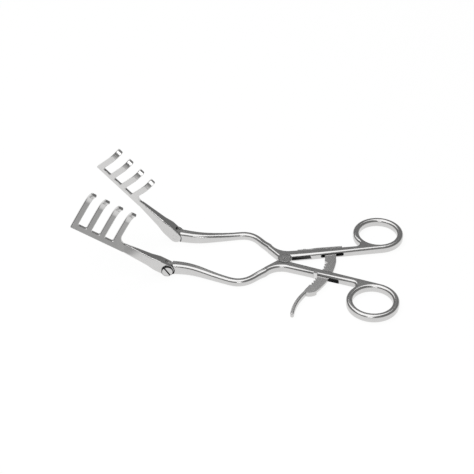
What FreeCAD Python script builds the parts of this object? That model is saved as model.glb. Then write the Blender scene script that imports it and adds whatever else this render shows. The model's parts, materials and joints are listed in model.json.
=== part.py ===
"""Self retaining retractor with two hinged blades of four prongs, lying on its back.

Millimetres. +Z is up and z = 0 is the flat underside of the handles. The origin is under
the lock screw that joins the two arms. +X runs to the finger rings and +Y to the rear arm.
The rear arm is drawn and the front arm is its mirror image in the plane y = 0. The two
differ only at the lock, in the handle slots and in what the handles carry.
"""
import FreeCAD, Part
import math
import os

# Handles and rings
HANDLE_HEIGHT = 7.4            # underside to top, at the lock, the handles and the rings
RING_CENTRE = (78.7, 46.2)     # middle of the rear finger ring
RING_BORE = 33.6               # inner diameter of a finger ring
RING_BAR = 5.6                 # width of the ring's rim, seen from above
HANDLE_ANGLE = 14.9            # inner edge of the handle against X, tangent to the ring
HANDLE_TAPER = 1.9             # by how much the outer edge leans in towards the ring
HANDLE_ROOT_WIDTH = 8.8        # width of the handle beside the lock screw
HANDLE_EDGE = 2.3              # rounding of the long edges of handle, ring and arm
RING_WEB = 4.0                 # hollow corner between handle and ring
LOCK_WAIST = 16.0              # hollow curve from handle to arm outside the lock

# Bowed arms
ARM_ANGLE = 134.0              # direction in which the arm leaves the lock
ARM_SHOULDER = 48.5            # lock to the corner where the arm turns forward
ARM_WAIST = (-83.1, 20.6)      # corner of the shallow waist
SHOULDER_BEND = 18.0           # radius of the arm's middle line at its shoulder
WAIST_BEND = 62.0              # radius of the middle line at its waist
ARM_WIDTH = 6.1
ARM_HEIGHT = 6.5
ARM_START = 21.0               # lock screw to where the bowed bar starts
ARM_THINNING = 16.0            # length over which it thins from the lock's height
ARM_FLARE = 0.5                # share of the arm's length before it grows to the hinge
ARM_END_WIDTH = 8.5
ARM_END_HEIGHT = 10.4
ARM_END_LIFT = 1.2             # underside of the arm above z = 0 at the blade hinge

# Lock joint
LUG_RADIUS = 6.3
LUG_GAP = 0.5                  # round gap between a lug and its recess
LUG_FACE_GAP = 0.1             # between the two half-height lugs
LOCK_HEAD_RADIUS = 4.9
LOCK_HEAD_HEIGHT = 1.6
LOCK_SHANK_RADIUS = 2.6
LOCK_SLOT = 1.1
LOCK_SLOT_DEPTH = 0.7
LOCK_SLOT_TURN = 20.0
RELIEF_REACH = 24.0            # lock screw to the end of the relief cut beside a lug
RELIEF_DEPTH = 1.7
RELIEF_Z = (2.4, 6.0)
RUNNING_GAP = 0.05             # radial clearance of every pin and screw that turns

# Blade hinge
HINGE_AT = (-100.0, 23.5)      # axis of the rear blade hinge
HINGE_LIFT = 6.4               # height of that axis
HINGE_TOE_OUT = 10.2           # by how much arm end and blade point outwards
EAR_RADIUS = 5.8
SHOULDER_GAP = 0.7             # between the round ears and the hollow end of the arm
TONGUE_THICKNESS = 3.2
TONGUE_RADIUS = 4.7
TONGUE_GAP = 0.12              # each side of the tongue
TONGUE_ROOT = 4.3              # length of tongue buried in the arm
TONGUE_INSET = 0.8             # its buried end below the arm's top
STOP_GAP = 0.35                # how much further the arm's end is cut back over the hinge
SLOT_CROTCH = 0.6              # tongue to the end of the slot in the fork
EAR_EDGE = 1.0                 # rounding of the fork's long edges and ears
FORK_WIDTH = 8.4
FORK_LENGTH = 10.0             # hinge axis to where the shaft starts to thin
HINGE_SHANK_RADIUS = 2.2
HINGE_HEAD_RADIUS = 5.1
HINGE_HEAD_HEIGHT = 1.7
HINGE_HEAD_EDGE = 0.6
HINGE_SLOT = 1.3
HINGE_SLOT_DEPTH = 0.8
HINGE_SLOT_TURN = 25.0
TILT_LIMIT = 75.0              # steepest tilt of a blade above the arms

# Blades
BLADE_LENGTH = 93.2            # hinge axis to the far edge of the first prong
PRONG_COUNT = 4
PRONG_PITCH = 12.8
PRONG_WIDTH = 5.0
BLADE_SHEET = 2.7
SHEET_EDGE = 0.6               # rounding of the prongs' and gaps' edges
BLADE_LOW = 4.8                # lower edge of the prong bar below the hinge axis
PRONG_BAR_HEIGHT = 5.1         # lower edge to the floor of the gaps
BLADE_INSET = 0.4              # inner face of the prong bar inside the hinge's middle plane
BLADE_LEAN = 22.0              # inward lean of the sheet at its lower edge
LEAN_RUN = 4.4                 # flat stretch above the lower edge
PRONG_CURVE = 230.0            # outward curve of the prongs
PRONG_CURVE_RUN = 21.2
TIP_CURVE = 12.4               # tighter curve of their tips
TIP_CURVE_RUN = 14.6
PRONG_TIP_CORNER = 1.6
GAP_CORNER = 0.9
SHAFT_CORNER = 6.0             # curve from the last prong down to the shaft
SHAFT_BAR_HEIGHT = 7.0         # height of the shaft where it meets the prong bar
SHAFT_EDGE = 2.2               # rounding of its long edges where it is thickest
SHAFT_EDGE_RUN = 8.0           # length over which that rounding grows from the fork's
REAR_TILT = 42.8
FRONT_TILT = 34.5

# Ratchet
SLOT_START = 32.2              # along the handle, from abreast of the lock screw
SLOT_END = 52.5
SLOT_CORNER = 1.2
REAR_SLOT_Z = (2.3, 5.6)
FRONT_SLOT_Z = (0.8, 5.4)
BAR_Z = (2.7, 5.1)
BAR_WIDTH = 10.0
PIN_AT = (41.5, 6.1)           # ratchet pin, along and across the rear handle
PIN_RADIUS = 1.6
PIN_INSET = 0.1                # its ends inside the handle's top and underside
BAR_HEAD_RADIUS = 4.6
HEEL_AT = (48.3, 8.1)          # nose of the bar that the leaf spring bears on
HEEL_RADIUS = 1.3
HEEL_WEB = 7.4                 # width of the heel's web at the pin
PAWL_CLEAR = 0.15              # pawl edge to the tips of the teeth
PAWL_BLOCK = 3.3               # length of the pawl insert along the handle
PAWL_DEPTH = 2.8               # depth of its seat in the handle's outer side
PAWL_OVERHANG = 0.8            # by how much it stands into the slot
PAWL_FLUSH = 0.15              # its outer face inside the handle's side
PAWL_INSET = 0.3               # its ends inside the handle's top and underside
EDGE_FLARE = 0.25              # by how much the toothed edge opens out beyond the pawl
TOOTH_COUNT = 10
TOOTH_STEP = 5.9               # degrees of arm travel per tooth
TOOTH_DEPTH = 1.5
TOOTH_ROOT = 0.9               # degrees of flat at a tooth's root
TOOTH_RAKE = 0.15              # degrees by which its steep face leans
TOOTH_LAND = 0.95              # degrees of flat at its tip
FIRST_TOOTH = -29.1            # arm travel at which the first tooth holds
NECK_START = -31.2             # arm travel at the hollow neck between the head and that tooth
NECK_DEPTH = 2.8
BAR_NEAR = -36.0               # arm travel at the plate's end beside its pin
BACK_FAR = 25.0                # arm travel at the far end of its back
THUMB_Z = (0.6, 5.1)
THUMB_WIDTH = 3.2
THUMB_START = (22.5, -38.3)
THUMB_HEADING = 236.5
THUMB_BEND = 57.0
THUMB_TURN = 32.0
THUMB_EDGE = 0.9
THUMB_ROOT = (1.5, 2.5)        # where the lever's two sides leave the bar
END_BULGE = 1.2                # rounding of the bar's end beside the lever
RIM_TURN = 30.0                # direction across the deep end rim, from the lever's
RIM_REACH = 4.0
RIM_WIDTH = 0.8

# Leaf spring
LEAF_START = 12.7
LEAF_END = 52.4
LEAF_PAD = 11.0                # clamped length
LEAF_THICKNESS = 1.0
LEAF_SEAT = 0.15               # clamped pad above the handle's side
LEAF_RISE = 0.95               # free strip above the handle's side
LEAF_RAMP = 6.0                # length over which it rises
LEAF_BEND = 6.0
LEAF_CORNER = 0.3
LEAF_Z = (1.4, 6.0)
LEAF_SCREW_AT = 19.2
LEAF_SCREW_RADIUS = 1.9
LEAF_SCREW_HEIGHT = 1.0
LEAF_SCREW_SHANK = 1.0
LEAF_SCREW_DEPTH = 4.5
LEAF_SCREW_SLOT = 0.6
LEAF_SCREW_PLAY = 0.3

# Construction
ARM_SECTIONS = 12
BEYOND = 1.0                   # how far a cutting tool stands past the metal
TINY = 0.01

UP = FreeCAD.Vector(0, 0, 1)
ORIGIN = FreeCAD.Vector(0, 0, 0)
ACROSS = FreeCAD.Vector(0, 1, 0)


def unit(degrees):
    """Level unit vector at an angle from +X."""
    turn = math.radians(degrees)
    return FreeCAD.Vector(math.cos(turn), math.sin(turn), 0)


def spot(pair, z=0.0):
    return FreeCAD.Vector(pair[0], pair[1], z)


def turned(vector, degrees, centre=ORIGIN):
    """A point turned about a vertical line."""
    turn = FreeCAD.Rotation(UP, degrees)
    return centre + turn.multVec(vector - centre)


def crossing(start_a, along_a, start_b, along_b):
    """Where two level lines cross."""
    span = start_b - start_a
    spread = along_a.x * along_b.y - along_a.y * along_b.x
    reach = (span.x * along_b.y - span.y * along_b.x) / spread
    return start_a + along_a * reach


def segment(start, end):
    return Part.LineSegment(start, end).toShape()


def arc(start, middle, end):
    return Part.Arc(start, middle, end).toShape()


def rounded_wire(corners, radii):
    """Closed wire through corners, each rounded by its own radius, 0 for a sharp one."""
    count = len(corners)
    edges = []
    cut_in = []
    cut_out = []
    for index, corner in enumerate(corners):
        back = (corners[index - 1] - corner).normalize()
        ahead = (corners[(index + 1) % count] - corner).normalize()
        half = back.getAngle(ahead) / 2
        reach = radii[index] / math.tan(half)
        cut_in.append(corner + back * reach)
        cut_out.append(corner + ahead * reach)
        if radii[index] > 0:
            middle = (back + ahead).normalize()
            depth = radii[index] / math.sin(half) - radii[index]
            edges.append(arc(cut_in[index], corner + middle * depth, cut_out[index]))
    for index in range(count):
        start = cut_out[index]
        end = cut_in[(index + 1) % count]
        if start.distanceToPoint(end) > 1e-6:
            edges.append(segment(start, end))
    return Part.Wire(Part.__sortEdges__(edges))


def prism(wire, low, high):
    """Solid between two heights over a level wire drawn at z = 0."""
    face = Part.Face(wire)
    face.translate(FreeCAD.Vector(0, 0, low))
    return face.extrude(FreeCAD.Vector(0, 0, high - low))


def post(radius, centre, low, high):
    return Part.makeCylinder(radius, high - low, FreeCAD.Vector(centre.x, centre.y, low), UP)


def round_rims(solid, heights, radius, skip=None):
    """Round every edge that lies level at a given height, but for those over one point."""
    rims = []
    for edge in solid.Edges:
        box = edge.BoundBox
        if skip and math.hypot(box.Center.x - skip.x, box.Center.y - skip.y) < 10 * TINY:
            continue
        for height in heights:
            if abs(box.ZMin - height) < TINY and abs(box.ZMax - height) < TINY:
                rims.append(edge)
    return solid.makeFillet(radius, rims)


def one_solid(shape):
    """The shape cleaned, as a bare solid where it is in one piece."""
    clean = shape.removeSplitter()
    return clean.Solids[0] if len(clean.Solids) == 1 else clean


def mirrored(shape):
    return shape.mirror(ORIGIN, ACROSS)


# Places along the rear handle: u runs from abreast of the lock screw to the ring, v outwards
HANDLE_LINE = HANDLE_ANGLE - HANDLE_TAPER / 2
INWARD = unit(HANDLE_ANGLE - 90)
RING_RADIUS = RING_BORE / 2 + RING_BAR
RING_TANGENT = spot(RING_CENTRE) + INWARD * RING_RADIUS
INNER_FOOT = crossing(RING_TANGENT, unit(HANDLE_ANGLE), ORIGIN, INWARD)
OUTER_FOOT = INNER_FOOT - INWARD * HANDLE_ROOT_WIDTH


def on_handle(along, across, z=0.0):
    """Point of the rear handle."""
    place = unit(HANDLE_LINE) * along + unit(HANDLE_LINE + 90) * across
    return FreeCAD.Vector(place.x, place.y, z)


def outer_side(along):
    """How far out the handle's outer side lies at a place along it."""
    foot = on_handle(along, 0)
    meet = crossing(foot, unit(HANDLE_LINE + 90), OUTER_FOOT, unit(HANDLE_ANGLE - HANDLE_TAPER))
    return foot.distanceToPoint(meet)


def bow_path():
    """Middle line of the bowed arm as a start, a heading and runs of length and turn."""
    hinge = spot(HINGE_AT)
    corners = [ORIGIN, unit(ARM_ANGLE) * ARM_SHOULDER, spot(ARM_WAIST), hinge]
    runs = []
    used = 0.0
    heading = ARM_ANGLE
    for index, radius in ((1, SHOULDER_BEND), (2, WAIST_BEND)):
        ahead = corners[index + 1] - corners[index]
        next_heading = math.degrees(math.atan2(ahead.y, ahead.x)) % 360
        turn = next_heading - heading
        reach = radius * math.tan(math.radians(abs(turn)) / 2)
        straight = corners[index].distanceToPoint(corners[index - 1]) - used - reach
        runs.append((straight, 0.0))
        runs.append((radius * math.radians(abs(turn)), turn))
        used = reach
        heading = next_heading
    runs.append((corners[3].distanceToPoint(corners[2]) - used, 0.0))
    return ORIGIN, ARM_ANGLE, runs


def along_path(path, distance):
    """Point and heading at a distance along a path."""
    point, heading, runs = path
    for length, turn in runs:
        step = min(distance, length)
        if turn:
            radius = length / math.radians(abs(turn))
            side = 90 if turn > 0 else -90
            centre = point + unit(heading + side) * radius
            swing = turn * step / length
            point = turned(point, swing, centre)
            heading += swing
        else:
            point = point + unit(heading) * step
        distance -= step
        if distance <= 0:
            break
    return point, heading


def path_length(path):
    return sum(length for length, turn in path[2])


def rounded_section(centre, heading, width, low, height, corner):
    """Upright rounded rectangle across a path."""
    side = unit(heading + 90)
    half = width / 2
    outline = []
    for across, up in ((-half, low), (half, low), (half, low + height), (-half, low + height)):
        outline.append(centre + side * across + UP * up)
    return rounded_wire(outline, [corner] * 4)


def swell(share):
    """Smooth growth from 0 to 1 along the last part of the arm."""
    if share <= ARM_FLARE:
        return 0.0
    part = (share - ARM_FLARE) / (1 - ARM_FLARE)
    return part * part * (3 - 2 * part)


def bowed_arm():
    """Rounded bar from the lock to the blade hinge."""
    path = bow_path()
    length = path_length(path)
    sections = []
    for index in range(ARM_SECTIONS + 1):
        distance = ARM_START + (length - ARM_START) * index / ARM_SECTIONS
        share = distance / length
        centre, heading = along_path(path, distance)
        grown = swell(share)
        width = ARM_WIDTH + (ARM_END_WIDTH - ARM_WIDTH) * grown
        near_lock = max(0.0, 1 - (distance - ARM_START) / ARM_THINNING)
        base = ARM_HEIGHT + (HANDLE_HEIGHT - ARM_HEIGHT) * near_lock
        height = base + (ARM_END_HEIGHT - ARM_HEIGHT) * grown
        low = ARM_END_LIFT * grown
        sections.append(rounded_section(centre, heading, width, low, height, HANDLE_EDGE))
    return Part.makeLoft(sections, True, False)


def handle_plate():
    """Lock, handle and finger ring as one plate with rounded rims."""
    arm = unit(ARM_ANGLE)
    half = unit(ARM_ANGLE - 90) * (ARM_WIDTH / 2)
    outer_line = unit(HANDLE_ANGLE - HANDLE_TAPER)
    arm_out = arm * ARM_START + half
    arm_in = arm * ARM_START - half
    waist = crossing(half, arm, OUTER_FOOT, outer_line)
    throat = crossing(half * -1, arm, INNER_FOOT, unit(HANDLE_ANGLE))
    ring = spot(RING_CENTRE)
    side = unit(HANDLE_ANGLE - HANDLE_TAPER + 90)
    web_line = OUTER_FOOT + side * RING_WEB
    offset = (ring - web_line).dot(side)
    reach = math.sqrt((RING_RADIUS + RING_WEB) ** 2 - offset ** 2)
    web = ring - side * offset - outer_line * reach
    web_foot = web - side * RING_WEB
    web_ring = ring + (web - ring).normalize() * RING_RADIUS
    web_middle = web + ((web_foot - web).normalize() + (web_ring - web).normalize()).normalize() * RING_WEB
    half_turn = waist_turn(arm, outer_line)
    waist_arm = waist + arm * (LOCK_WAIST / math.tan(half_turn))
    waist_handle = waist + outer_line * (LOCK_WAIST / math.tan(half_turn))
    waist_way = (arm + outer_line).normalize()
    waist_middle = waist + waist_way * (LOCK_WAIST / math.sin(half_turn) - LOCK_WAIST)
    far_side = ring + unit(HANDLE_ANGLE) * RING_RADIUS
    edges = [
        segment(throat, arm_in),
        segment(arm_in, arm_out),
        segment(arm_out, waist_arm),
        arc(waist_arm, waist_middle, waist_handle),
        segment(waist_handle, web_foot),
        arc(web_foot, web_middle, web_ring),
        arc(web_ring, far_side, RING_TANGENT),
        segment(RING_TANGENT, throat),
    ]
    plate = prism(Part.Wire(Part.__sortEdges__(edges)), 0, HANDLE_HEIGHT)
    plate = plate.cut(post(RING_BORE / 2, ring, 0, HANDLE_HEIGHT))
    return round_rims(plate, (0, HANDLE_HEIGHT), HANDLE_EDGE, arm * ARM_START)


def waist_turn(one, other):
    """Half the angle between two directions."""
    return one.getAngle(other) / 2


def hinge_placed(shape, tilt=0.0):
    """Move a piece drawn at the origin, blade towards -X, to the rear blade hinge."""
    piece = shape.copy()
    piece.rotate(ORIGIN, ACROSS, tilt)
    piece.rotate(ORIGIN, UP, -HINGE_TOE_OUT)
    piece.translate(spot(HINGE_AT, HINGE_LIFT))
    return piece


def cross_cylinder(radius, width):
    """Cylinder along Y, centred on the origin."""
    return Part.makeCylinder(radius, width, FreeCAD.Vector(0, -width / 2, 0), ACROSS)


def side_prism(corners, radii, width):
    """Solid of a given width over an outline drawn in X and Z, centred on y = 0."""
    outline = [FreeCAD.Vector(x, -width / 2, z) for x, z in corners]
    return Part.Face(rounded_wire(outline, radii)).extrude(FreeCAD.Vector(0, width, 0))


def hinge_end(arm):
    """Hollow the arm's end round the ears and add the tongue between them."""
    wide = ARM_END_WIDTH * 2
    room = EAR_RADIUS + SHOULDER_GAP
    hollow = cross_cylinder(room, wide)
    far = ARM_END_HEIGHT * 2
    beyond = side_prism([(0, -far), (0, far), (-far, far), (-far, -far)], [0] * 4, wide)
    face = room - STOP_GAP
    stop = side_prism([(-room, 0), (face, 0), (face, far), (-room, far)], [0] * 4, wide)
    stop.rotate(ORIGIN, ACROSS, TILT_LIMIT - 90)
    low = ARM_END_LIFT - HINGE_LIFT
    high = ARM_END_LIFT + ARM_END_HEIGHT - HINGE_LIFT
    root = room + TONGUE_ROOT
    neck = [(0, low), (root, low), (root, high - TONGUE_INSET), (0, TONGUE_RADIUS)]
    tongue = side_prism(neck, [0] * 4, TONGUE_THICKNESS)
    tongue = tongue.fuse(cross_cylinder(TONGUE_RADIUS, TONGUE_THICKNESS))
    for tool in (hollow, beyond, stop):
        arm = arm.cut(hinge_placed(tool))
    arm = arm.fuse(hinge_placed(tongue))
    return arm.cut(hinge_placed(cross_cylinder(HINGE_SHANK_RADIUS + RUNNING_GAP, wide)))


def handle_slot(low, high):
    """Slot for the ratchet bar, milled across a handle."""
    width = HANDLE_ROOT_WIDTH * 3
    outline = [(SLOT_START, low), (SLOT_END, low), (SLOT_END, high), (SLOT_START, high)]
    slot = side_prism(outline, [SLOT_CORNER] * 4, width)
    slot.rotate(ORIGIN, UP, HANDLE_LINE)
    return slot


def blank_arm():
    """What the two arms have in common, drawn as the rear one without its lug."""
    return handle_plate().fuse(hinge_end(bowed_arm()))


def lug(low, high):
    return post(LUG_RADIUS, ORIGIN, low, high)


def lock_halves():
    """Heights of the lower and the upper lug."""
    middle = HANDLE_HEIGHT / 2
    return (0, middle - LUG_FACE_GAP / 2), (middle + LUG_FACE_GAP / 2, HANDLE_HEIGHT)


def relief(start, along, inward):
    """Wedge cut from the arm's side beside its lug, deepest at the lug."""
    near = start + along * LUG_RADIUS
    far = start + along * RELIEF_REACH
    corners = [near - inward * BEYOND, far - inward * BEYOND, far, near + inward * RELIEF_DEPTH]
    return prism(rounded_wire(corners, [0] * 4), *RELIEF_Z)


def rear_arm():
    """Upper lug, ratchet fork, pin hole and seat of the leaf spring's screw."""
    lower, upper = lock_halves()
    arm = blank_arm()
    top = HANDLE_HEIGHT + BEYOND
    arm = arm.cut(post(LUG_RADIUS + LUG_GAP, ORIGIN, -BEYOND, upper[0]))
    arm = arm.fuse(lug(*upper))
    arm = arm.cut(post(LOCK_SHANK_RADIUS + RUNNING_GAP, ORIGIN, -BEYOND, top))
    head_low = HANDLE_HEIGHT - LOCK_HEAD_HEIGHT - RUNNING_GAP
    arm = arm.cut(post(LOCK_HEAD_RADIUS + RUNNING_GAP, ORIGIN, head_low, top))
    arm = arm.cut(relief(INNER_FOOT, unit(HANDLE_ANGLE), INWARD * -1))
    arm = arm.cut(handle_slot(*REAR_SLOT_Z))
    arm = arm.cut(post(PIN_RADIUS + RUNNING_GAP, on_handle(*PIN_AT), -BEYOND, top))
    screw = leaf_screw_shank(LEAF_SCREW_SHANK + RUNNING_GAP, RUNNING_GAP)
    return one_solid(arm.cut(screw))


def front_arm():
    """Lower lug, through slot for the bar and seat of the pawl insert."""
    lower, upper = lock_halves()
    arm = blank_arm()
    top = HANDLE_HEIGHT + BEYOND
    arm = arm.cut(post(LUG_RADIUS + LUG_GAP, ORIGIN, lower[1], top))
    arm = arm.fuse(lug(*lower))
    arm = arm.cut(post(LOCK_SHANK_RADIUS + RUNNING_GAP, ORIGIN, -BEYOND, top))
    arm = arm.cut(handle_slot(*FRONT_SLOT_Z))
    arm = arm.cut(pawl_seat())
    return one_solid(mirrored(arm))


def pawl_seat():
    """Upright seat in the handle's outer side, beside the slot's near end."""
    deep = outer_side(SLOT_START) - PAWL_DEPTH
    past = outer_side(SLOT_START) + BEYOND
    start, end = pawl_span()
    corners = [on_handle(start, deep), on_handle(end, deep), on_handle(end, past), on_handle(start, past)]
    return prism(rounded_wire(corners, [0] * 4), -BEYOND, HANDLE_HEIGHT + BEYOND)


def pawl_span():
    """Where the insert starts and ends along the handle."""
    end = SLOT_START + PAWL_OVERHANG
    return end - PAWL_BLOCK, end


def pawl_edge():
    """Outer corner of the pawl insert, which holds the teeth, in the front arm."""
    end = pawl_span()[1]
    corner = on_handle(end, outer_side(end) - PAWL_FLUSH)
    return mirrored(Part.Vertex(corner)).Point


def pawl_insert():
    """Hard insert whose outer corner stands into the slot and holds the teeth."""
    start, end = pawl_span()
    deep = outer_side(SLOT_START) - PAWL_DEPTH
    flush_start = outer_side(start) - PAWL_FLUSH
    flush_end = outer_side(end) - PAWL_FLUSH
    corners = [on_handle(start, deep), on_handle(end, deep),
               on_handle(end, flush_end), on_handle(start, flush_start)]
    block = prism(rounded_wire(corners, [0] * 4), PAWL_INSET, HANDLE_HEIGHT - PAWL_INSET)
    return one_solid(mirrored(block))


def bar_point(travel, depth):
    """Point of the ratchet bar that meets the pawl's edge after some arm travel.

    Towards the pin the toothed edge is an arc round the lock screw. Beyond the pawl it
    opens out, as if the bar had turned on its pin by EDGE_FLARE of the travel.
    """
    pin = on_handle(*PIN_AT)
    edge = pawl_edge()
    bearing = math.degrees(math.atan2(edge.y, edge.x))
    seen = unit(bearing - travel) * (edge.Length + PAWL_CLEAR + depth)
    return turned(seen, EDGE_FLARE * max(travel, 0), pin)


def toothed_edge():
    """Points of the saw teeth from the near end of the plate to its far end."""
    points = [bar_point(BAR_NEAR, 0), bar_point(NECK_START, NECK_DEPTH)]
    for index in range(TOOTH_COUNT):
        holds = FIRST_TOOTH + TOOTH_STEP * index
        points.append(bar_point(holds - TOOTH_ROOT, TOOTH_DEPTH))
        points.append(bar_point(holds, TOOTH_DEPTH))
        points.append(bar_point(holds + TOOTH_RAKE, 0))
        points.append(bar_point(holds + TOOTH_RAKE + TOOTH_LAND, 0))
    return points


def thumb_path():
    return spot(THUMB_START), THUMB_HEADING, [(THUMB_BEND * math.radians(THUMB_TURN), THUMB_TURN)]


def thumb_lever():
    """Curved finger that the thumb pushes to free the ratchet."""
    path = thumb_path()
    length = path_length(path)
    half = THUMB_WIDTH / 2
    sides = []
    for across in (half, -half):
        points = []
        for share in (0, 0.5, 1):
            centre, heading = along_path(path, length * share)
            points.append(centre + unit(heading + 90) * across)
        sides.append(points)
    end, heading = along_path(path, length)
    tip = end + unit(heading) * half
    left, right = sides
    edges = [arc(*left), arc(left[2], tip, right[2]), arc(*right), segment(right[0], left[0])]
    lever = prism(Part.Wire(Part.__sortEdges__(edges)), *THUMB_Z)
    return round_rims(lever, THUMB_Z, THUMB_EDGE)


def ratchet_bar():
    """Toothed plate with its round head, spring heel, deep end rim and thumb lever."""
    pin = on_handle(*PIN_AT)
    teeth = toothed_edge()
    near = bar_point(BAR_NEAR, BAR_WIDTH)
    middle = bar_point((BAR_NEAR + BACK_FAR) / 2, BAR_WIDTH)
    far = bar_point(BACK_FAR, BAR_WIDTH)
    start, heading = along_path(thumb_path(), 0)
    ahead = unit(heading)
    half = unit(heading + 90) * (THUMB_WIDTH / 2)
    left_root = start - half + ahead * THUMB_ROOT[0]
    right_root = start + half + ahead * THUMB_ROOT[1]
    rim_way = unit(heading + RIM_TURN)
    bulge = (right_root + far) * 0.5 + rim_way * END_BULGE
    across = (near - teeth[0]).normalize() * BAR_HEAD_RADIUS
    edges = [segment(teeth[index], teeth[index + 1]) for index in range(len(teeth) - 1)]
    edges += [
        segment(teeth[-1], left_root),
        segment(left_root, right_root),
        arc(right_root, bulge, far),
        arc(far, middle, near),
        segment(near, pin + across),
        segment(pin + across, pin - across),
        segment(pin - across, teeth[0]),
    ]
    outline = Part.Wire(Part.__sortEdges__(edges))
    rim_corners = [right_root + ahead * RIM_REACH, far + rim_way * RIM_REACH,
                   far - rim_way * RIM_WIDTH, start - ahead * RIM_WIDTH]
    rim = prism(outline, *THUMB_Z).common(prism(rounded_wire(rim_corners, [0] * 4), *THUMB_Z))
    bar = prism(outline, *BAR_Z).fuse([rim, post(BAR_HEAD_RADIUS, pin, *BAR_Z), heel(pin), thumb_lever()])
    bar = bar.cut(post(PIN_RADIUS + RUNNING_GAP, pin, 0, HANDLE_HEIGHT))
    return one_solid(bar)


def heel(pin):
    """Nose beside the pin on which the leaf spring bears."""
    nose = on_handle(*HEEL_AT)
    way = (nose - pin).normalize()
    side = FreeCAD.Vector(-way.y, way.x, 0)
    corners = [pin + side * (HEEL_WEB / 2), pin - side * (HEEL_WEB / 2),
               nose - side * HEEL_RADIUS, nose + side * HEEL_RADIUS]
    web = prism(rounded_wire(corners, [0] * 4), *BAR_Z)
    return web.fuse(post(HEEL_RADIUS, nose, *BAR_Z))


def ratchet_pin():
    """Flush cross pin of the ratchet bar."""
    return post(PIN_RADIUS, on_handle(*PIN_AT), PIN_INSET, HANDLE_HEIGHT - PIN_INSET)


def slot_tool(head_radius, width):
    """Cutter along X for a screw's slot, its floor at z = 0."""
    reach = head_radius + BEYOND
    return Part.makeBox(reach * 2, width, head_radius, FreeCAD.Vector(-reach, -width / 2, 0))


def lock_screw():
    """Flush slotted screw that joins the arms, its end level with the underside."""
    head = post(LOCK_HEAD_RADIUS, ORIGIN, HANDLE_HEIGHT - LOCK_HEAD_HEIGHT, HANDLE_HEIGHT)
    screw = head.fuse(post(LOCK_SHANK_RADIUS, ORIGIN, 0, HANDLE_HEIGHT - LOCK_HEAD_HEIGHT))
    slot = slot_tool(LOCK_HEAD_RADIUS, LOCK_SLOT)
    slot.rotate(ORIGIN, UP, LOCK_SLOT_TURN)
    slot.translate(UP * (HANDLE_HEIGHT - LOCK_SLOT_DEPTH))
    return one_solid(screw.cut(slot))


def leaf_spring():
    """Strip along the rear handle's outer side, clamped at the lock end."""
    pad_end = LEAF_START + LEAF_PAD
    steps = [(LEAF_START, LEAF_SEAT), (pad_end, LEAF_SEAT),
             (pad_end + LEAF_RAMP, LEAF_RISE), (LEAF_END, LEAF_RISE)]
    inner = [on_handle(along, outer_side(along) + off) for along, off in steps]
    outer = [on_handle(along, outer_side(along) + off + LEAF_THICKNESS) for along, off in steps]
    corners = inner + list(reversed(outer))
    bends = [LEAF_CORNER, LEAF_BEND, LEAF_BEND, LEAF_CORNER] * 2
    strip = prism(rounded_wire(corners, bends), *LEAF_Z)
    return one_solid(strip.cut(leaf_screw_shank(LEAF_SCREW_SHANK + LEAF_SCREW_PLAY, 0)))


def leaf_screw_shank(radius, extra):
    """Shank of the leaf spring's screw, from inside the handle to under its head."""
    middle = (LEAF_Z[0] + LEAF_Z[1]) / 2
    side = outer_side(LEAF_SCREW_AT)
    start = on_handle(LEAF_SCREW_AT, side - LEAF_SCREW_DEPTH - extra, middle)
    length = LEAF_SCREW_DEPTH + extra + LEAF_SEAT + LEAF_THICKNESS + LEAF_SCREW_PLAY
    return Part.makeCylinder(radius, length, start, unit(HANDLE_LINE + 90))


def leaf_screw():
    """Slotted screw of the leaf spring."""
    middle = (LEAF_Z[0] + LEAF_Z[1]) / 2
    side = outer_side(LEAF_SCREW_AT) + LEAF_SEAT + LEAF_THICKNESS + LEAF_SCREW_PLAY
    out = unit(HANDLE_LINE + 90)
    seat = on_handle(LEAF_SCREW_AT, side, middle)
    head = Part.makeCylinder(LEAF_SCREW_RADIUS, LEAF_SCREW_HEIGHT, seat, out)
    slot = slot_tool(LEAF_SCREW_RADIUS, LEAF_SCREW_SLOT)
    slot.rotate(ORIGIN, ACROSS, 90)
    slot.rotate(ORIGIN, UP, HANDLE_LINE + 90)
    slot.translate(seat + out * (LEAF_SCREW_HEIGHT / 2))
    screw = head.fuse(leaf_screw_shank(LEAF_SCREW_SHANK, 0))
    return one_solid(screw.cut(slot))


# Place along the blade where the shaft ends and the prong bar starts
COMB_START = -(BLADE_LENGTH - PRONG_PITCH * PRONG_COUNT)


def sheet_profile():
    """Cross-section of the curved sheet, in Y and Z, from its lower edge to the tips."""
    point = FreeCAD.Vector(-BLADE_LENGTH - BEYOND, -BLADE_INSET, -BLADE_LOW)
    lean = -BLADE_LEAN
    inner = [point]
    outer = [point + sheet_normal(lean) * BLADE_SHEET]
    edges_in = []
    edges_out = []
    for run, radius in ((LEAN_RUN, 0), (PRONG_CURVE_RUN, PRONG_CURVE), (TIP_CURVE_RUN, TIP_CURVE)):
        start = inner[-1]
        start_out = outer[-1]
        swing = math.degrees(run / radius) if radius else 0.0
        middle = start + sheet_chord(lean, swing / 2, run / 2)
        end = start + sheet_chord(lean, swing, run)
        middle_out = middle + sheet_normal(lean + swing / 2) * BLADE_SHEET
        lean += swing
        end_out = end + sheet_normal(lean) * BLADE_SHEET
        if radius:
            edges_in.append(arc(start, middle, end))
            edges_out.append(arc(start_out, middle_out, end_out))
        else:
            edges_in.append(segment(start, end))
            edges_out.append(segment(start_out, end_out))
        inner.append(end)
        outer.append(end_out)
    edges = edges_in + edges_out + [segment(inner[0], outer[0]), segment(inner[-1], outer[-1])]
    return Part.Wire(Part.__sortEdges__(edges)), inner[-1].z


def sheet_way(lean):
    """Direction up the sheet at a lean from upright, outwards positive."""
    turn = math.radians(lean)
    return FreeCAD.Vector(0, math.sin(turn), math.cos(turn))


def sheet_normal(lean):
    turn = math.radians(lean)
    return FreeCAD.Vector(0, math.cos(turn), -math.sin(turn))


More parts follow.
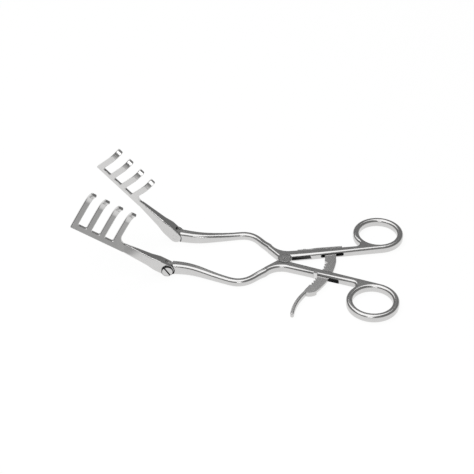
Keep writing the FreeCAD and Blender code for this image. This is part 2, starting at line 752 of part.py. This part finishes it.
def sheet_chord(lean, swing, run):
    """Straight step across an arc that starts at a lean and turns by a swing."""
    half = math.radians(swing) / 2
    length = run * math.sin(half) / half if half else run
    return sheet_way(lean + swing / 2) * length


def comb_outline(top):
    """Side view of the prong bar and the prongs, in X and Z."""
    floor = -BLADE_LOW + PRONG_BAR_HEIGHT
    shaft_top = -BLADE_LOW + SHAFT_BAR_HEIGHT
    below = -BLADE_LOW - BLADE_SHEET
    corners = [(-BLADE_LENGTH, below)]
    radii = [0]
    for index in range(PRONG_COUNT):
        left = -BLADE_LENGTH + PRONG_PITCH * index
        right = left + PRONG_WIDTH
        corners.extend([(left, top), (right, top)])
        radii.extend([PRONG_TIP_CORNER, PRONG_TIP_CORNER])
        if index < PRONG_COUNT - 1:
            corners.extend([(right, floor), (left + PRONG_PITCH, floor)])
            radii.extend([GAP_CORNER, GAP_CORNER])
        else:
            corners.append((right, shaft_top))
            radii.append(SHAFT_CORNER)
    corners.extend([(COMB_START, shaft_top), (COMB_START, below)])
    radii.extend([0, 0])
    return corners, radii


def shaft_section(share, edge):
    """Cross-section of the shaft, from the fork at 0 to the sheet of the prongs at 1."""
    half = FORK_WIDTH / 2
    foot = FreeCAD.Vector(COMB_START - BEYOND, -BLADE_INSET, -BLADE_LOW)
    rise = sheet_way(-BLADE_LEAN) * (SHAFT_BAR_HEIGHT / math.cos(math.radians(BLADE_LEAN)))
    skin = sheet_normal(-BLADE_LEAN) * BLADE_SHEET
    thick = [(-half, -EAR_RADIUS), (half, -EAR_RADIUS), (half, EAR_RADIUS), (-half, EAR_RADIUS)]
    thin = [foot, foot + skin, foot + skin + rise, foot + rise]
    corners = []
    for (across, up), last in zip(thick, thin):
        first = FreeCAD.Vector(-FORK_LENGTH, across, up)
        corners.append(first + (last - first) * share)
    return rounded_wire(corners, [edge] * 4)


def shaft():
    """Bar that thins from the fork to the sheet of the prongs."""
    grown = SHAFT_EDGE_RUN / (-FORK_LENGTH - COMB_START + BEYOND)
    steps = ((0, EAR_EDGE), (grown, SHAFT_EDGE), (1, SHEET_EDGE))
    return Part.makeLoft([shaft_section(share, edge) for share, edge in steps], True, True)


def fork():
    """Two ears with rounded rims, made as one round-ended block."""
    outline = []
    half = FORK_WIDTH / 2
    for across, up in ((-half, -EAR_RADIUS), (half, -EAR_RADIUS), (half, EAR_RADIUS), (-half, EAR_RADIUS)):
        outline.append(FreeCAD.Vector(0, across, up))
    block = Part.Face(rounded_wire(outline, [EAR_EDGE] * 4)).extrude(FreeCAD.Vector(-FORK_LENGTH, 0, 0))
    ears = cross_cylinder(EAR_RADIUS, FORK_WIDTH)
    rims = [edge for edge in ears.Edges if edge.BoundBox.YLength < TINY]
    return ears.makeFillet(EAR_EDGE, rims).fuse(block)


def comb():
    """Sheet of the prongs, its edges rounded."""
    wire, top = sheet_profile()
    sheet = Part.Face(wire).extrude(FreeCAD.Vector(BLADE_LENGTH + BEYOND * 2, 0, 0))
    corners, radii = comb_outline(top)
    plate = one_solid(sheet.common(side_prism(corners, radii, BLADE_LENGTH)))
    rims = []
    for edge in plate.Edges:
        if edge.BoundBox.XMax < COMB_START - TINY:
            rims.append(edge)
    return plate.makeFillet(SHEET_EDGE, rims)


def blade():
    """Rear blade at the origin, its prongs up and its length towards -X."""
    body = fork().fuse([shaft(), comb()])
    slot_width = TONGUE_THICKNESS + TONGUE_GAP * 2
    crotch = -TONGUE_RADIUS - SLOT_CROTCH
    past = EAR_RADIUS + BEYOND
    slot = [(crotch, -past), (past, -past), (past, past), (crotch, past)]
    body = body.cut(side_prism(slot, [0] * 4, slot_width))
    return one_solid(body.cut(cross_cylinder(HINGE_SHANK_RADIUS + RUNNING_GAP, FORK_WIDTH * 2)))


def hinge_screw():
    """Slotted screw of a blade hinge, its head on the outer ear."""
    half = FORK_WIDTH / 2
    shank = Part.makeCylinder(HINGE_SHANK_RADIUS, FORK_WIDTH, FreeCAD.Vector(0, -half, 0), ACROSS)
    head = Part.makeCylinder(HINGE_HEAD_RADIUS, HINGE_HEAD_HEIGHT, FreeCAD.Vector(0, half, 0), ACROSS)
    top = half + HINGE_HEAD_HEIGHT
    rim = [edge for edge in head.Edges if abs(edge.BoundBox.YMin - top) < TINY]
    head = head.makeFillet(HINGE_HEAD_EDGE, rim)
    slot = slot_tool(HINGE_HEAD_RADIUS, HINGE_SLOT)
    slot.rotate(ORIGIN, FreeCAD.Vector(1, 0, 0), -90)
    slot.rotate(ORIGIN, ACROSS, HINGE_SLOT_TURN)
    slot.translate(ACROSS * (top - HINGE_SLOT_DEPTH))
    return one_solid(shank.fuse(head).cut(slot))


def build_nodes():
    blade_shape = blade()
    screw_shape = hinge_screw()
    return {
        "front_arm": front_arm(),
        "rear_arm": rear_arm(),
        "lock_screw": lock_screw(),
        "pawl_insert": pawl_insert(),
        "ratchet_pin": ratchet_pin(),
        "ratchet_bar": ratchet_bar(),
        "leaf_spring": leaf_spring(),
        "leaf_screw": leaf_screw(),
        "rear_blade": hinge_placed(blade_shape, REAR_TILT),
        "rear_hinge_screw": hinge_placed(screw_shape, REAR_TILT),
        "front_blade": mirrored(hinge_placed(blade_shape, FRONT_TILT)),
        "front_hinge_screw": mirrored(hinge_placed(screw_shape, FRONT_TILT)),
    }


os.makedirs("parts", exist_ok=True)
for name, shape in build_nodes().items():
    shape.exportStep("parts/" + name + ".step")
    print(name, len(shape.Solids), shape.isValid(), round(shape.Volume, 1))
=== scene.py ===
"""Looks of a self retaining retractor that lies on its back on a white table.

Metres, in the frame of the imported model: the origin is under the lock screw, +X runs to the
finger rings, +Y to the rear arm and +Z up.
"""

import bmesh
import bpy
import json
import math
from mathutils import Matrix, Vector


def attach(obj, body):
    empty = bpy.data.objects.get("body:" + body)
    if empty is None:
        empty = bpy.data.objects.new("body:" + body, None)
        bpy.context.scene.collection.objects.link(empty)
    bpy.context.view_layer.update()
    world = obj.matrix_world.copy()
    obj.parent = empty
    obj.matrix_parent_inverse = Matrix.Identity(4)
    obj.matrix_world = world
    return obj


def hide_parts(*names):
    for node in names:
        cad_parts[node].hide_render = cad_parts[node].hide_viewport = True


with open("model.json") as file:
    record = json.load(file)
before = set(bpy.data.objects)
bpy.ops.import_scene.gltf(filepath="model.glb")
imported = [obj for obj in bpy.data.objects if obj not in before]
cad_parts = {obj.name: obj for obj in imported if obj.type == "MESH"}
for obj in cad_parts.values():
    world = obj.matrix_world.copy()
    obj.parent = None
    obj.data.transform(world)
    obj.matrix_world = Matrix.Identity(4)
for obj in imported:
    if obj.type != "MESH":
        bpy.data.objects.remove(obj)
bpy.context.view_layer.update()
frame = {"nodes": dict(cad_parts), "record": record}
BODY_OF = {node: body for body, nodes in frame["record"]["behaviour"]["bodies"].items() for node in nodes}

# Camera, as fitted to the photo, its lens and sensor in millimetres
LOOK_AT = Vector((-0.04545, 0.02482, 0.0074))
DISTANCE = 1.1588
AZIMUTH = math.radians(8.27)
ELEVATION = math.radians(37.92)
ROLL = math.radians(-1.13)
LENS = 98.9
SENSOR = 36.0

# Studio, with brightness as a share of white and lamps in watts
WHITE = (1.0, 1.0, 1.0, 1.0)
ROOM_GREY = 0.22                # what polished steel sees of the room above the table
WINDOW_GREY = 0.5               # what it sees of the room's lit window, low on the right
WINDOW_SIDE = (0.19, 0.29)      # X of a direction where the window starts, and where it is full
WINDOW_TOP = (0.1, 0.2)         # Z of a direction where it starts to fade, and where it ends
TABLE_SIZE = 6.0
TABLE_PAINT = (0.9, 0.9, 0.9, 1.0)
TABLE_WHITE = 1.06
TABLE_GLOW = 0.87               # share of the table's white that shadows don't reach
SHEET_FRONT = (-0.38, -0.1)     # Y where the white sheet under the object starts, and where it is full
FLOOR_GREY = 0.5                # what steel sees of the floor in front of the sheet
OVERHEAD_SIZE = (2.35, 1.45)
OVERHEAD_AT = Vector((-0.28, 0.06, 1.35))
OVERHEAD_POWER = 13.9
BLADE_LAMP_SIZE = (0.16, 0.16)
BLADE_LAMP_AT = Vector((0.0335, -0.419, 0.206))
BLADE_LAMP_POWER = 0.19

# Steel
STEEL = (0.62, 0.615, 0.61, 1.0)
BRIGHT_STEEL = (0.72, 0.715, 0.71, 1.0)
# Dark colour of painted shade, put on faces in slots, hollows and recesses that lie in shade
PAINTED_SHADE_COLOUR = (0.06, 0.06, 0.06, 1.0)
ROUGHNESS_SPREAD = 0.06
BLOTCH_SCALE = 90.0             # blotches of wear per metre
LINE_DEPTH = 0.12
BUMP_STRENGTH = 0.35
BUMP_HEIGHT = 0.00002

# Grinding lines: changes of their pattern per metre in X, Y and Z, before it is turned
LINES_ALONG_X = (60, 2500, 2500)
LINES_ALONG_Y = (2500, 60, 2500)
LINES_ON_BLADES = (2500, 300, 60)
LINES_ON_SCREWS = (900, 900, 900)
RATCHET_LINES_TURN = 0.2        # radians

# Meshes
TINY = 1e-6                     # a distance under this counts as none
FLAT_ANGLE = math.radians(0.5)
SHARP_ANGLE = math.radians(30)

# Sides of the object, as the sign of Y
REAR = 1
FRONT = -1

# Ratchet slots: direction of the rear handle against X, and the slots' span along it and in height
HANDLE_TURN = math.radians(13.95)
SLOT_SPAN = (0.0322, 0.0525)
REAR_SLOT = (0.0023, 0.0056)
FRONT_SLOT = (0.0008, 0.0054)

# Relief beside the lock on the rear handle: direction of the handle's near side against X, its
# distance from the lock's axis, and the wedge's span along it, greatest depth and span in height
SIDE_TURN = math.radians(14.9)
SIDE_OFFSET = 0.00201
RELIEF_SPAN = (0.006, 0.024)
RELIEF_DEPTH = 0.0018
RELIEF_Z = (0.0024, 0.006)
RELIEF_SLACK = 0.0003           # a face this near to the wedge's floor lies on it

# Blade hinges, given for the rear one; the front one is its mirror image in Y
HINGE_AT = Vector((-0.1, 0.0235, 0.0064))
HINGE_AXIS = Vector((0.177085, 0.984196, 0))
HOLLOW_RADIUS = 0.0065
HEAD_FACE = 0.0059              # from the middle of the hinge to the face of the screw's head
HEAD_SLOT = 0.001               # a face less deep below it than this is in the slot or on the rim
HEAD_SIDE = 0.0048              # a face further from the axis than this is on the head's side

# Faces, by their middle and their normal
ON_SURFACE = 0.0001             # a face nearer than this to a surface lies on it
ACROSS = 0.5                    # a normal with less than this along a direction runs across it
UPRIGHT = 0.01                  # a face whose normal has less than this of Z stands upright
LEVEL = 0.99                    # a face whose normal has more than this of Z lies level

# Near edges of the handles, which look sharper than the rounding of the solid: the spans of X over
# which that sets in and ends, and tilts of the surface in degrees, in the solid and as they shade
EDGE_START = (0.001, 0.007)
EDGE_END = (0.05, 0.066)
FRONT_EDGE_TILTS = (18.667, 33.667, 78, 90)
REAR_EDGE_TILTS = (47, 65, 78, 90)
SHADED_TILTS = (0, 45, 68, 90)
EDGE_FACING = 0.3               # least share of -Y in the level part of a near edge's normal
EDGE_MARGIN = 0.02              # least upward and least level part of its normal


def feed(tree, port, value):
    """Link an input to the output of another node, or set it to a number, vector or colour."""
    if isinstance(value, bpy.types.NodeSocket):
        tree.links.new(value, port)
    else:
        port.default_value = value


def shader(tree, kind, **inputs):
    """A node with some of its inputs fed by name."""
    made = tree.nodes.new("ShaderNode" + kind)
    for name, value in inputs.items():
        feed(tree, made.inputs[name.replace("_", " ")], value)
    return made


def computed(tree, operation, *values):
    """Result of a Math node on numbers or the outputs of other nodes."""
    node = shader(tree, "Math")
    node.operation = operation
    for port, value in zip(node.inputs, values):
        feed(tree, port, value)
    return node.outputs[0]


def mixed(tree, share, first, second):
    """Mix of two shaders, by the share of the second."""
    mix = shader(tree, "MixShader", Fac=share)
    feed(tree, mix.inputs[1], first)
    feed(tree, mix.inputs[2], second)
    return mix.outputs[0]


def eased(tree, value, span, ends):
    """Smooth change from the first end value to the second while a value goes over its span."""
    ramp = shader(tree, "MapRange", Value=value)
    ramp.interpolation_type = "SMOOTHSTEP"
    for port, number in zip(("From Min", "From Max", "To Min", "To Max"), span + ends):
        ramp.inputs[port].default_value = number
    return ramp.outputs["Result"]


def grain_group():
    """Shader group: fine grinding lines along one direction, and soft blotches of wear."""
    group = bpy.data.node_groups.new("grinding_grain", "ShaderNodeTree")
    for name, kind in (("Vector", "Vector"), ("Steel", "Color"), ("Roughness", "Float"),
                       ("Roughness Spread", "Float"), ("Tone Spread", "Float"), ("Line Depth", "Float"),
                       ("Blotch Scale", "Float")):
        group.interface.new_socket(name, in_out="INPUT", socket_type="NodeSocket" + kind)
    for name, kind in (("Color", "Color"), ("Roughness", "Float"), ("Height", "Float")):
        group.interface.new_socket(name, in_out="OUTPUT", socket_type="NodeSocket" + kind)
    entry = group.nodes.new("NodeGroupInput").outputs
    leave = group.nodes.new("NodeGroupOutput").inputs
    place = shader(group, "TexCoord")
    lines = shader(group, "TexNoise", Vector=entry["Vector"], Scale=1.0, Detail=3.0,
                   Roughness=0.6).outputs["Fac"]
    blotch = shader(group, "TexNoise", Vector=place.outputs["Object"], Scale=entry["Blotch Scale"],
                    Detail=4.0, Roughness=0.55).outputs["Fac"]

    def swayed(base, value, spread):
        """base + (value - 0.5) * spread"""
        return computed(group, "MULTIPLY_ADD", computed(group, "SUBTRACT", value, 0.5), spread, base)

    rough = swayed(entry["Roughness"], blotch, entry["Roughness Spread"])
    rough = swayed(rough, lines, entry["Roughness Spread"])
    tone = swayed(1.0, lines, entry["Tone Spread"])
    tone = swayed(tone, blotch, entry["Tone Spread"])
    tint = shader(group, "VectorMath")
    tint.operation = "SCALE"
    feed(group, tint.inputs[0], entry["Steel"])
    feed(group, tint.inputs["Scale"], tone)
    feed(group, leave["Color"], tint.outputs[0])
    feed(group, leave["Roughness"], rough)
    feed(group, leave["Height"], computed(group, "MULTIPLY", lines, entry["Line Depth"]))
    return group


GRAIN = grain_group()


def steel(name, base=STEEL, *, roughness, tone, depth=LINE_DEPTH, lines=LINES_ALONG_X, turn=0.0):
    """Ground steel, with its pattern of lines turned about Z by an angle."""
    material = bpy.data.materials.new(name)
    material.use_nodes = True
    tree = material.node_tree
    place = shader(tree, "TexCoord")
    lay = shader(tree, "Mapping", Vector=place.outputs["Object"], Rotation=(0, 0, turn),
                 Scale=tuple(1.0 / rate for rate in lines))
    lay.vector_type = "TEXTURE"
    grain = shader(tree, "Group")
    grain.node_tree = GRAIN
    for port, value in (("Vector", lay.outputs["Vector"]), ("Steel", base), ("Roughness", roughness),
                        ("Roughness Spread", ROUGHNESS_SPREAD), ("Tone Spread", tone),
                        ("Line Depth", depth), ("Blotch Scale", BLOTCH_SCALE)):
        feed(tree, grain.inputs[port], value)
    bump = shader(tree, "Bump", Strength=BUMP_STRENGTH, Distance=BUMP_HEIGHT, Height=grain.outputs["Height"])
    surface = tree.nodes["Principled BSDF"]
    surface.inputs["Metallic"].default_value = 1.0
    feed(tree, surface.inputs["Base Color"], grain.outputs["Color"])
    feed(tree, surface.inputs["Roughness"], grain.outputs["Roughness"])
    feed(tree, surface.inputs["Normal"], bump.outputs["Normal"])
    return material


def add_object(name, data):
    """New object in the scene that holds a mesh, a camera or a light."""
    made = bpy.data.objects.new(name, data)
    bpy.context.scene.collection.objects.link(made)
    return made


def merged_copy(node):
    """Copy of a CAD node's mesh with its points merged and its surfaces' own normals kept."""
    source = frame["nodes"][node].data
    mesh = source.copy()
    mesh.name = node + "_steel"
    normals = mesh.attributes.new("surface_normal", "FLOAT_VECTOR", "CORNER")
    for corner, normal in enumerate(source.corner_normals):
        normals.data[corner].vector = normal.vector
    work = bmesh.new()
    work.from_mesh(mesh)
    bmesh.ops.remove_doubles(work, verts=work.verts, dist=TINY)
    work.to_mesh(mesh)
    work.free()
    return mesh


def as_piece(node, mesh, material):
    """The object that stands for a CAD node."""
    mesh.materials.clear()
    mesh.materials.append(material)
    piece = add_object(mesh.name, mesh)
    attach(piece, BODY_OF[node])
    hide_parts(node)
    return piece


def forged(node, material, change=None):
    """Steel over a piece whose edges are rounded in the solid, shaded by the surfaces' own normals."""
    mesh = merged_copy(node)
    kept = mesh.attributes["surface_normal"]
    normals = [corner.vector.copy() for corner in kept.data]
    if change:
        places = [mesh.vertices[corner.vertex_index].co for corner in mesh.loops]
        normals = [change(place, normal) for place, normal in zip(places, normals)]
    mesh.attributes.remove(kept)
    mesh.polygons.foreach_set("use_smooth", [True] * len(mesh.polygons))
    mesh.normals_split_custom_set(normals)
    return as_piece(node, mesh, material)


def machined(node, material, edge):
    """Steel over a plain-edged piece, its edges broken by a small bevel."""
    mesh = merged_copy(node)
    mesh.attributes.remove(mesh.attributes["surface_normal"])
    work = bmesh.new()
    work.from_mesh(mesh)
    bmesh.ops.dissolve_limit(work, angle_limit=FLAT_ANGLE, verts=work.verts, edges=work.edges,
                             use_dissolve_boundaries=False, delimit=set())
    sharp = [line for line in work.edges if line.is_manifold and line.calc_face_angle() > SHARP_ANGLE]
    bmesh.ops.bevel(work, geom=sharp, offset=edge, offset_type="OFFSET", affect="EDGES", segments=2,
                    profile=0.5, material=-1, clamp_overlap=True)
    work.to_mesh(mesh)
    work.free()
    mesh.polygons.foreach_set("use_smooth", [True] * len(mesh.polygons))
    piece = as_piece(node, mesh, material)
    soft = piece.modifiers.new("flat_faces", "WEIGHTED_NORMAL")
    soft.weight = 100
    soft.mode = "FACE_AREA"
    return piece


def step(value, low, high):
    """Smooth step from 0 to 1."""
    share = min(max((value - low) / (high - low), 0.0), 1.0)
    return share * share * (3 - 2 * share)


def read_off(value, marks, readings):
    """Reading at a value, in straight lines between the readings at given marks."""
    value = max(value, marks[0])
    for start, end, low, high in zip(marks, marks[1:], readings, readings[1:]):
        if value <= end:
            return low + (high - low) * (value - start) / (end - start)
    return readings[-1]


def sharper_edge(solid_tilts):
    """Change of a handle's normals that makes its near edge turn faster from the top to the side."""
    def change(place, normal):
        level = math.hypot(normal.x, normal.y)
        if normal.y > -EDGE_FACING * level or min(normal.z, level) < EDGE_MARGIN:
            return normal
        share = step(place.x, *EDGE_START) * (1 - step(place.x, *EDGE_END))
        tilt = math.degrees(math.atan2(level, normal.z))
        shaded = read_off(tilt, solid_tilts, SHADED_TILTS)
        tilt = math.radians(tilt + share * (shaded - tilt))
        way = Vector((normal.x / level, normal.y / level, 0))
        return way * math.sin(tilt) + Vector((0, 0, math.cos(tilt)))

    return change


def paint_shade(piece, *tests):
    """Paint shade on each face that one of the tests picks, giving it the dark steel of painted shade."""
    materials = piece.data.materials
    materials.append(PAINTED_SHADE_STEEL)
    for face in piece.data.polygons:
        if any(picks(face.center, face.normal) for picks in tests):
            face.material_index = len(materials) - 1


def within(value, span):
    """Whether a value lies in a span, with its ends."""
    return span[0] - TINY < value < span[1] + TINY


def on_side(side, vector):
    """A vector that is given for the rear side, or its mirror image for the front."""
    return Vector((vector.x, side * vector.y, vector.z))


def in_slot(side, heights):
    """Test for the walls of the ratchet's slot through the handle on one side."""
    way = on_side(side, Vector((math.cos(HANDLE_TURN), math.sin(HANDLE_TURN), 0)))
    out = on_side(side, Vector((-math.sin(HANDLE_TURN), math.cos(HANDLE_TURN), 0)))

    def picks(place, normal):
        in_reach = within(place.dot(way), SLOT_SPAN) and within(place.z, heights)
        return in_reach and abs(normal.dot(out)) < ACROSS

    return picks


def in_relief(place, normal):
    """Test for the wedge cut from the rear handle's side next to the lock."""
    way = Vector((math.cos(SIDE_TURN), math.sin(SIDE_TURN), 0))
    inward = Vector((-math.sin(SIDE_TURN), math.cos(SIDE_TURN), 0))
    along = place.dot(way)
    depth = place.dot(inward) - SIDE_OFFSET
    start, end = RELIEF_SPAN
    if not (start < along < end and ON_SURFACE < depth < RELIEF_DEPTH and within(place.z, RELIEF_Z)):
        return False
    floor_depth = RELIEF_DEPTH * (end - along) / (end - start)
    on_floor = abs(normal.z) < UPRIGHT and abs(depth - floor_depth) < RELIEF_SLACK
    return on_floor or abs(normal.z) > LEVEL


def hinge_place(side, place):
    """Distance outwards along a blade hinge's axis, and the vector from the axis to a place."""
    axis = on_side(side, HINGE_AXIS)
    from_middle = place - on_side(side, HINGE_AT)
    along = from_middle.dot(axis)
    return along, from_middle - axis * along


def in_hollow(side):
    """Test for the hollow end of an arm, round the ears of the blade's fork."""
    def picks(place, normal):
        spoke = hinge_place(side, place)[1]
        return abs(spoke.length - HOLLOW_RADIUS) < ON_SURFACE and normal.dot(spoke) < 0

    return picks


def in_screw_slot(side):
    """Test for the slot, the rounded rim and the side of a hinge screw's head."""
    def picks(place, normal):
        along, spoke = hinge_place(side, place)
        below_face = HEAD_FACE - along
        return below_face > TINY and (below_face < HEAD_SLOT or spoke.length > HEAD_SIDE)

    return picks


def make_camera():
    """The photo's camera."""
    back = Vector((math.sin(AZIMUTH) * math.cos(ELEVATION), -math.cos(AZIMUTH) * math.cos(ELEVATION),
                   math.sin(ELEVATION)))
    right = Vector((math.cos(AZIMUTH), math.sin(AZIMUTH), 0))
    up = back.cross(right)
    image_right = right * math.cos(ROLL) + up * math.sin(ROLL)
    image_up = up * math.cos(ROLL) - right * math.sin(ROLL)
    data = bpy.data.cameras.new("camera")
    data.lens = LENS
    data.sensor_width = SENSOR
    place = Matrix((image_right, image_up, back)).transposed().to_4x4()
    place.translation = LOOK_AT + back * DISTANCE
    camera = add_object("camera", data)
    camera.matrix_world = place
    bpy.context.scene.camera = camera


def sheet_brightness(tree):
    """What steel sees below it: a white sheet under the object and a grey floor in front."""
    place = shader(tree, "TexCoord")
    parts = shader(tree, "SeparateXYZ", Vector=place.outputs["Object"])
    return eased(tree, parts.outputs["Y"], SHEET_FRONT, (FLOOR_GREY, 1.0))


def make_table():
    """White table top that glows for the camera and for steel, and keeps a faint shadow."""
    mesh = bpy.data.meshes.new("table")
    work = bmesh.new()
    bmesh.ops.create_grid(work, x_segments=1, y_segments=1, size=TABLE_SIZE / 2)
    work.to_mesh(mesh)
    work.free()
    material = bpy.data.materials.new("white_table")
    material.use_nodes = True
    tree = material.node_tree
    tree.nodes.remove(tree.nodes["Principled BSDF"])
    paint = shader(tree, "BsdfDiffuse", Color=TABLE_PAINT).outputs[0]
    glow = shader(tree, "Emission", Color=WHITE, Strength=TABLE_WHITE).outputs[0]
    mirrored = shader(tree, "Emission", Color=WHITE, Strength=sheet_brightness(tree)).outputs[0]
    rays = shader(tree, "LightPath")
    looked_at = computed(tree, "MAXIMUM", rays.outputs["Is Camera Ray"], rays.outputs["Is Transmission Ray"])
    lit = mixed(tree, TABLE_GLOW, paint, glow)
    shown = mixed(tree, looked_at, paint, lit)
    surface = mixed(tree, rays.outputs["Is Glossy Ray"], shown, mirrored)
    feed(tree, tree.nodes["Material Output"].inputs["Surface"], surface)
    mesh.materials.append(material)
    table = add_object("table", mesh)


def make_world():
    """White for the camera, and for steel a grey room with a lit window low on the right."""
    world = bpy.data.worlds.new("studio")
    bpy.context.scene.world = world
    world.use_nodes = True
    tree = world.node_tree
    place = shader(tree, "TexCoord")
    parts = shader(tree, "SeparateXYZ", Vector=place.outputs["Generated"])
    side = eased(tree, parts.outputs["X"], WINDOW_SIDE, (0.0, 1.0))
    low = eased(tree, parts.outputs["Z"], WINDOW_TOP, (1.0, 0.0))
    in_window = computed(tree, "MULTIPLY", side, low)
    room = tree.nodes["Background"]
    feed(tree, room.inputs["Color"], WHITE)
    feed(tree, room.inputs["Strength"], eased(tree, in_window, (0.0, 1.0), (ROOM_GREY, WINDOW_GREY)))
    white = shader(tree, "Background", Color=WHITE, Strength=1.0)
    rays = shader(tree, "LightPath")
    shown = mixed(tree, rays.outputs["Is Camera Ray"], room.outputs[0], white.outputs[0])
    feed(tree, tree.nodes["World Output"].inputs["Surface"], shown)


def make_softbox(name, place, size, power):
    """Rectangular lamp that faces the object and that the camera doesn't see."""
    data = bpy.data.lights.new(name, "AREA")
    data.shape = "RECTANGLE"
    data.size, data.size_y = size
    data.energy = power
    lamp = add_object(name, data)
    lamp.location = place
    lamp.rotation_euler = (LOOK_AT - place).to_track_quat("-Z", "Y").to_euler()
    lamp.visible_camera = False


ARM_STEEL = steel("arm_steel", roughness=0.18, tone=0.1)
BLADE_STEEL = steel("blade_steel", roughness=0.18, tone=0.08, lines=LINES_ON_BLADES)
SCREW_STEEL = steel("screw_steel", roughness=0.2, tone=0.05, lines=LINES_ON_SCREWS)
RATCHET_STEEL = steel("ratchet_steel", roughness=0.26, tone=0.06, depth=0.05, lines=LINES_ALONG_Y,
                      turn=RATCHET_LINES_TURN)
SPRING_STEEL = steel("spring_steel", BRIGHT_STEEL, roughness=0.18, tone=0.06)
PAWL_STEEL = steel("pawl_steel", BRIGHT_STEEL, roughness=0.2, tone=0.06)
# Painted shade: dark steel for the faces of slots, hollows and recesses that lie in shade
PAINTED_SHADE_STEEL = steel("painted_hollow_shade", PAINTED_SHADE_COLOUR, roughness=0.5, tone=0.2)

front_arm = forged("front_arm", ARM_STEEL, sharper_edge(FRONT_EDGE_TILTS))
# Painted shade on the walls of the ratchet's slot and on the hollow round the blade's fork
paint_shade(front_arm, in_slot(FRONT, FRONT_SLOT), in_hollow(FRONT))
rear_arm = forged("rear_arm", ARM_STEEL, sharper_edge(REAR_EDGE_TILTS))
# Painted shade on the ratchet's slot, the hollow round the fork and the relief beside the lock
paint_shade(rear_arm, in_slot(REAR, REAR_SLOT), in_hollow(REAR), in_relief)
forged("front_blade", BLADE_STEEL)
forged("rear_blade", BLADE_STEEL)
forged("ratchet_bar", RATCHET_STEEL)
# Painted shade in the slot, on the rim and on the side of each hinge screw's head
front_hinge_screw = forged("front_hinge_screw", SCREW_STEEL)
paint_shade(front_hinge_screw, in_screw_slot(FRONT))
rear_hinge_screw = forged("rear_hinge_screw", SCREW_STEEL)
paint_shade(rear_hinge_screw, in_screw_slot(REAR))
machined("lock_screw", SCREW_STEEL, edge=0.00015)
machined("ratchet_pin", SCREW_STEEL, edge=0.0001)
machined("leaf_screw", SCREW_STEEL, edge=0.0001)
machined("leaf_spring", SPRING_STEEL, edge=0.00012)
machined("pawl_insert", PAWL_STEEL, edge=0.0001)

make_camera()
make_table()
make_world()
make_softbox("overhead", OVERHEAD_AT, OVERHEAD_SIZE, OVERHEAD_POWER)
make_softbox("blade_lamp", BLADE_LAMP_AT, BLADE_LAMP_SIZE, BLADE_LAMP_POWER)
bpy.context.scene.view_settings.view_transform = "Standard"
